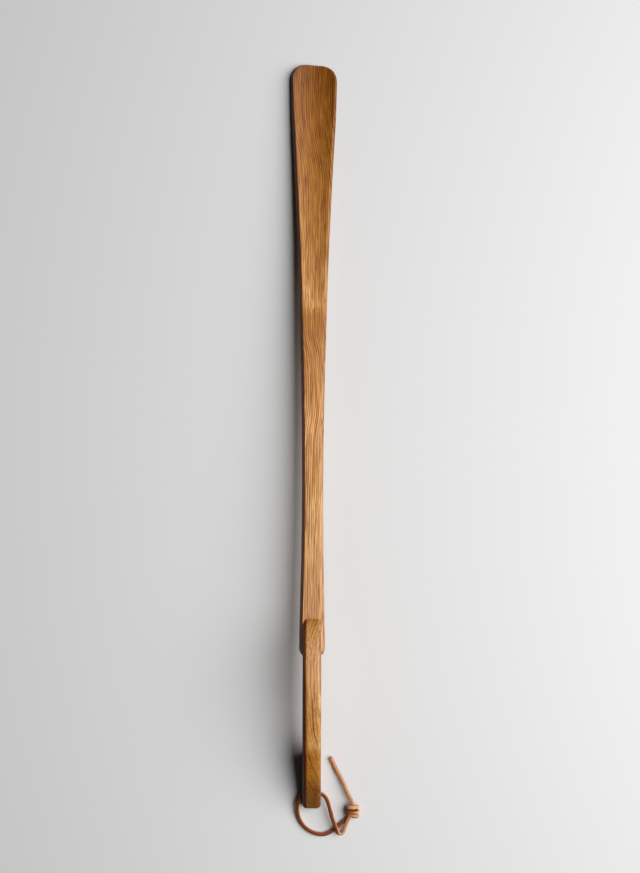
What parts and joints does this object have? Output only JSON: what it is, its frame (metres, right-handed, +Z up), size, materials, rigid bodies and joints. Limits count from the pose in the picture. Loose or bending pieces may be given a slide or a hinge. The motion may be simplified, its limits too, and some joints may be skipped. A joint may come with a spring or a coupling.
{
  "type": "long shoehorn",
  "caption": "Long oak shoehorn with a shallow scooped blade, a slim shaft, an arched grip lapped on its end, and a knotted leather lace for hanging.",
  "frame": {"origin": "on the surface it rests on, under the middle of the wood's box", "axes": "+Y along its length to the blade's tip, +X across it to the right seen from above with the tip away from the viewer, +Z up; it lies on its back with the scoop up"},
  "size_m": [0.0727, 0.7805, 0.0487],
  "materials": {
    "oak_blade": "oiled, satin",
    "oak_grip": "oiled, satin",
    "dowel_wood": "plain, hidden",
    "lace_leather": "vegetable-tanned, one grain face and three cut faces"
  },
  "bodies": {
    "root": {"blade_and_shaft": "oak_blade", "grip": "oak_grip", "dowel_front": "dowel_wood", "dowel_rear": "dowel_wood", "lace_loop": "lace_leather", "lace_knot": "lace_leather", "lace_tail": "lace_leather"}
  },
  "joints": []
}
